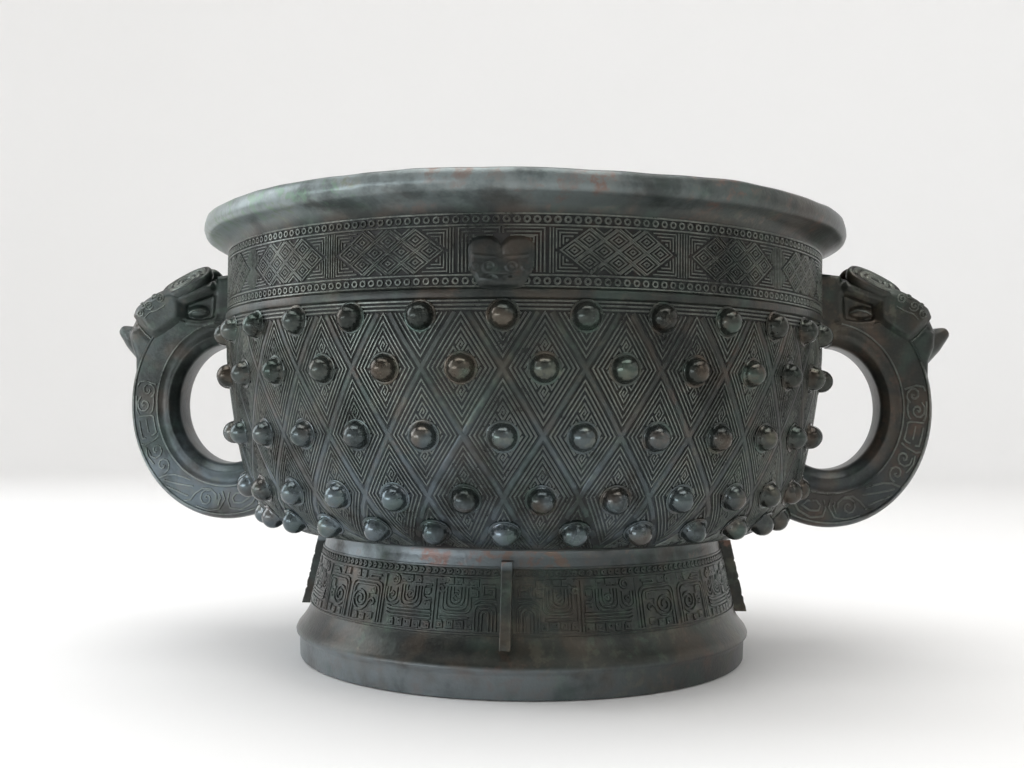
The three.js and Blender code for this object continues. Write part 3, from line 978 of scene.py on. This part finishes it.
def horn_frame(side):
    """Middle and three directions of a horn: towards the snout, outwards and up."""
    ahead = np.array([math.cos(HORN_DIP), 0, -math.sin(HORN_DIP)])
    level = np.array([0, side, 0])
    up = np.cross(ahead, level) * (1 if side > 0 else -1)
    up = up if up[2] > 0 else -up
    outward = level * math.cos(HORN_TILT) - up * math.sin(HORN_TILT)
    top = up * math.cos(HORN_TILT) + level * math.sin(HORN_TILT)
    return np.array([131.4, side * 5.6, 138.9]), ahead, outward, top


def squared(points):
    """Rounds turned into ovals with flatter sides, like a stadium."""
    points = np.array(points, float)
    reach = np.hypot(points[:, 0], points[:, 1])
    flat = (abs(points[:, 0]) ** 2.7 + abs(points[:, 1]) ** 2.7) ** (1 / 2.7)
    points[:, :2] *= (reach / np.maximum(flat, 1e-9))[:, None]
    return points


HORN_COLUMNS = 56
HORN_RIM_RINGS = 7
horn_profile = [(0, -2.9), (0.5, -2.9), (0.8, -2.5), (0.95, -1.5), (1.0, -0.2), (1.0, 0.9), (0.965, 1.75),
                (0.9, 2.1), (0.5, 2.1), (0, 2.1)]
horn_sizes = np.array([10.9, 6.3])
horn_shapes = []
for side in (-1, 1):
    middle, ahead, outward, top = horn_frame(side)
    points, faces = spin(horn_profile, HORN_COLUMNS)
    points = squared(points)
    flat = points[:, :2] * horn_sizes
    points = (middle + np.outer(flat[:, 0], ahead) + np.outer(flat[:, 1], outward)
              + np.outer(points[:, 2], top))
    faces = faces if np.dot(np.cross(ahead, outward), top) > 0 else [f[::-1] for f in faces]
    horn_shapes.append((points, faces))


def on_both(shapes):
    """Each shape of the right-hand handle, followed by its copy on the left-hand one."""
    return [(turned_points, faces) for points, faces in shapes for turned_points in both_sides(points)]


for turned_points, name in zip(both_sides(head_points), ("right", "left")):
    cast_piece(name + "_handle_head", turned_points, head_faces, plain_bronze, crease=60)
horns = cast_piece("handle_horns", *gathered(on_both(horn_shapes)), plain_bronze, crease=45)
# The top of each horn, between the spiral's turns, takes the same darker ground: old dirt and painted shade.
horns.data.materials.append(ground_bronze)
for face in horns.data.polygons:
    if face.index // HORN_COLUMNS % (len(horn_profile) - 1) >= HORN_RIM_RINGS:
        face.material_index = 1

# %% [markdown]
# ## Scrolls on the handles
# Hooks, curls with a dot and leaf-shaped lines run down the flat field of each loop. They are drawn on
# the same sweep as the loop itself, by the angle round it and the share of its width. The horns carry a
# broad flat spiral with a thin groove between its turns, and small curls sit on the bridge of the nose.

# %% Draw the loop's scrolls
def field(side):
    """Marks are the angle round the loop in degrees and the share of its width."""
    def place(marks):
        flat = loop_spot(marks[:, 0], marks[:, 1])
        spot = np.stack([flat[:, 0], np.full(len(flat), side * 8.9), flat[:, 1]], 1)
        return spot, np.tile((0.0, side, 0.0), (len(spot), 1))
    return place


def loop_curl(angle, share, size, turns, start):
    """A curl of a size in millimetres on the loop's field, and the dot at its middle."""
    marks = curl((0, 0), size, turns, start)
    dot = [(angle - 0.35, share), (angle + 0.35, share)]
    return [marks / (math.radians(1) * 36, 21) + (angle, share), dot]


scrolls = [np.stack([np.linspace(-119, 80, 60), np.full(60, 0.41)], 1)]
scrolls += [np.stack([np.linspace(-117, 24, 50), np.full(50, 0.91)], 1)]
for marks in (
        [(12.5, 0.47), (13.0, 0.70), (11.5, 0.82), (9, 0.85)],
        [(3.8, 0.85), (-4, 0.84), (-6.5, 0.80)],
        [(5, 0.50), (0, 0.48), (-4.5, 0.50), (-6.5, 0.55)],
        [(-7.5, 0.82), (-8, 0.54), (-9, 0.50), (-19.5, 0.50), (-20.5, 0.56), (-20.5, 0.64)],
        [(-10, 0.66), (-18, 0.66)],
        [(-10, 0.81), (-20, 0.81), (-20.6, 0.74)],
        [(-22.5, 0.87), (-24, 0.80), (-23.6, 0.58), (-22.5, 0.48)],
        [(-25.5, 0.80), (-30, 0.84), (-36, 0.80)],
        [(-44, 0.87), (-46, 0.72), (-50, 0.60), (-56, 0.52), (-62, 0.48)],
        [(-47, 0.82), (-53, 0.72), (-60, 0.62), (-66, 0.56)],
        [(-50, 0.87), (-57, 0.80), (-65, 0.76)],
        [(-64, 0.87), (-67.5, 0.80), (-69, 0.66), (-73, 0.52), (-79, 0.49), (-84, 0.57), (-84.5, 0.66)],
        [(-72, 0.86), (-80, 0.87), (-87, 0.82), (-90.5, 0.64), (-88.5, 0.50)],
        [(-86, 0.76), (-87.5, 0.62), (-86, 0.55)],
        [(-94, 0.52), (-92.5, 0.66), (-94, 0.80), (-101, 0.85), (-109, 0.80), (-113, 0.7)],
        [(-96, 0.62), (-97, 0.71), (-102, 0.74), (-108, 0.69), (-105, 0.58), (-99, 0.55), (-96, 0.62)],
):
    scrolls.append(finer(marks, 3.0))
for curl_marks in (
        (8.0, 0.62, 3.3, 1.3, 210),
        (-1.0, 0.68, 3.2, 1.35, 30),
        (-30.0, 0.63, 3.5, 1.3, 60),
        (-40, 0.66, 3.3, 1.25, 150),
        (-77.5, 0.67, 3.4, 1.3, 250),
):
    scrolls += loop_curl(*curl_marks)
scroll_paths = [(np.asarray(marks, float), False) for marks in scrolls]
scroll_shapes = [ridges(scroll_paths, field(side), 0.72, 0.46, wear=0.3) for side in (-1, 1)]
cast_piece("handle_scroll_lines", *gathered(on_both(scroll_shapes)), line_bronze)

# %% Draw the horns' spirals and the curls on the nose
head_tree = BVHTree.FromPolygons(head_points.tolist(), head_faces)


def on_head(side):
    """Marks are (radius, height), thrown sideways onto the head."""
    def place(marks):
        spots, outs = [], []
        for x, z in marks:
            hit, normal, _, _ = head_tree.ray_cast(Vector((x, side * 40, z)), Vector((0, -side, 0)))
            spots.append(hit if hit else Vector((x, side * 8, z)))
            outs.append(normal if hit and normal.y * side > 0.1 else Vector((0, side, 0)))
        return np.array(spots), np.array(outs)
    return place


def on_horn(side):
    middle, ahead, outward, top = horn_frame(side)

    def place(marks):
        flat = marks * horn_sizes
        spot = middle + np.outer(flat[:, 0], ahead) + np.outer(flat[:, 1], outward) + top * 2.05
        return spot, np.tile(top, (len(spot), 1))
    return place


inward = np.linspace(0, 1, 64)
swing = inward * 17 + 2.6
spiral = squared(np.stack([np.cos(swing), np.sin(swing)], 1) * (0.78 - 0.66 * inward)[:, None])
nose_lines = [curl((140.6, 133.0), 1.9, 1.6, 40), curl((145.0, 130.4), 2.0, 1.6, 200)]
nose_lines += [curl((148.4, 127.2), 1.7, 1.5, 90)]
nose_lines += [curl((143.4, 133.9), 1.2, 1.3, 300), curl((148.0, 130.6), 1.1, 1.3, 10)]
nose_lines += [[(138.6, 130.2), (141.6, 128.4), (144.6, 127.4), (146.4, 125.4)]]
nose_lines += [[(131.6, 124.6), (135.6, 121.3), (140, 118.4), (143.6, 116.7), (147, 119.6), (150.2, 123.4)]]
eye_lines = [[(122.6, 128.2), (125.2, 129.0), (128.0, 128.6), (130.2, 127.6)]]
nose_paths = [(finer(marks, 1.5), False) for marks in nose_lines + eye_lines]
face_shapes = []
for side in (-1, 1):
    face_shapes.append(ridges(nose_paths, on_head(side), 0.6, 0.4, wear=0.25))
    face_shapes.append(ridges([(spiral, False)], on_horn(side), 1.7, 0.45, wear=0.25))
cast_piece("handle_head_lines", *gathered(on_both(face_shapes)), line_bronze)

# %% [markdown]
# ## Floor and light
# The bowl stands on a bright, plain floor, round like a dish, that curves up into a pale wall on every
# side, so the bowl can be looked at from anywhere. Soft light comes from above and from the left, and
# a low light stands in for what the floor throws back up: the sheen under the belly and the small
# highlight low on every boss. Three more lights brighten the wall. The one in front stays dim, because
# polished bosses show it, and a bright wall there would wash them out.

# %% Lay the floor and hang the lights
def matt(name, colour):
    finish = bpy.data.materials.new(name)
    finish.use_nodes = True
    surface = finish.node_tree.nodes["Principled BSDF"]
    surface.inputs["Base Color"].default_value = colour
    surface.inputs["Roughness"].default_value = 0.75
    return finish


def turned_sheet(name, profile, columns, finish):
    """A round sheet whose profile is given by (radius, height) points in metres."""
    points, faces = spin(profile, columns)
    mesh = bpy.data.meshes.new(name)
    mesh.from_pydata(points, [], faces)
    mesh.shade_smooth()
    mesh.materials.append(finish)
    made = bpy.data.objects.new(name, mesh)
    bpy.context.scene.collection.objects.link(made)


FLOOR_DROP = -0.0004
COVE = 0.5
rising = np.radians(np.arange(0, 91, 9))
cove = [(1.5 + COVE * math.sin(t), COVE * (1 - math.cos(t)) + FLOOR_DROP) for t in rising]
turned_sheet("floor", [(0, FLOOR_DROP)] + cove + [(2.0, 1.9)], 72, matt("floor_pale", hue(238, 238, 238)))


def soft_light(name, place, aim, size, watts, colour):
    data = bpy.data.lights.new(name, "AREA")
    data.shape = "RECTANGLE"
    data.size, data.size_y = size
    data.energy = watts
    data.color = colour
    lamp = bpy.data.objects.new(name, data)
    lamp.location = place
    lamp.visible_camera = False
    lamp.rotation_euler = (Vector(aim) - Vector(place)).to_track_quat("-Z", "Y").to_euler()
    bpy.context.scene.collection.objects.link(lamp)


soft_light("top_light", (0.0, -0.15, 1.3), (0, -0.1, 0.0), (1.3, 1.1), 16.5, (1.0, 0.99, 0.97))
soft_light("left_light", (-1.15, 0.1, 0.55), (0, 0, 0.09), (0.5, 0.9), 5, (0.9, 0.95, 1.0))
soft_light("right_light", (0.85, -0.95, 0.95), (0, 0, 0.09), (0.4, 0.4), 1.0, (1.0, 0.97, 0.92))
soft_light("low_light", (-0.75, -0.7, 0.04), (0.0, -0.05, 0.1), (0.8, 0.3), 4.0, (0.9, 0.95, 1.0))
for quarter in range(3):
    east, north = math.cos(quarter * math.pi / 2), math.sin(quarter * math.pi / 2)
    place, aim = (east, north, 1.6), (2 * east, 2 * north, 0.45)
    soft_light("wall_light_%d" % quarter, place, aim, (1.6, 0.4), 7.6, (1.0, 0.98, 0.955))
world = bpy.data.worlds.new("room")
world.use_nodes = True
world.node_tree.nodes["Background"].inputs["Color"].default_value = (0.9, 0.93, 1.0, 1)
world.node_tree.nodes["Background"].inputs["Strength"].default_value = 0.04
bpy.context.scene.world = world
bpy.context.scene.view_settings.view_transform = "Standard"
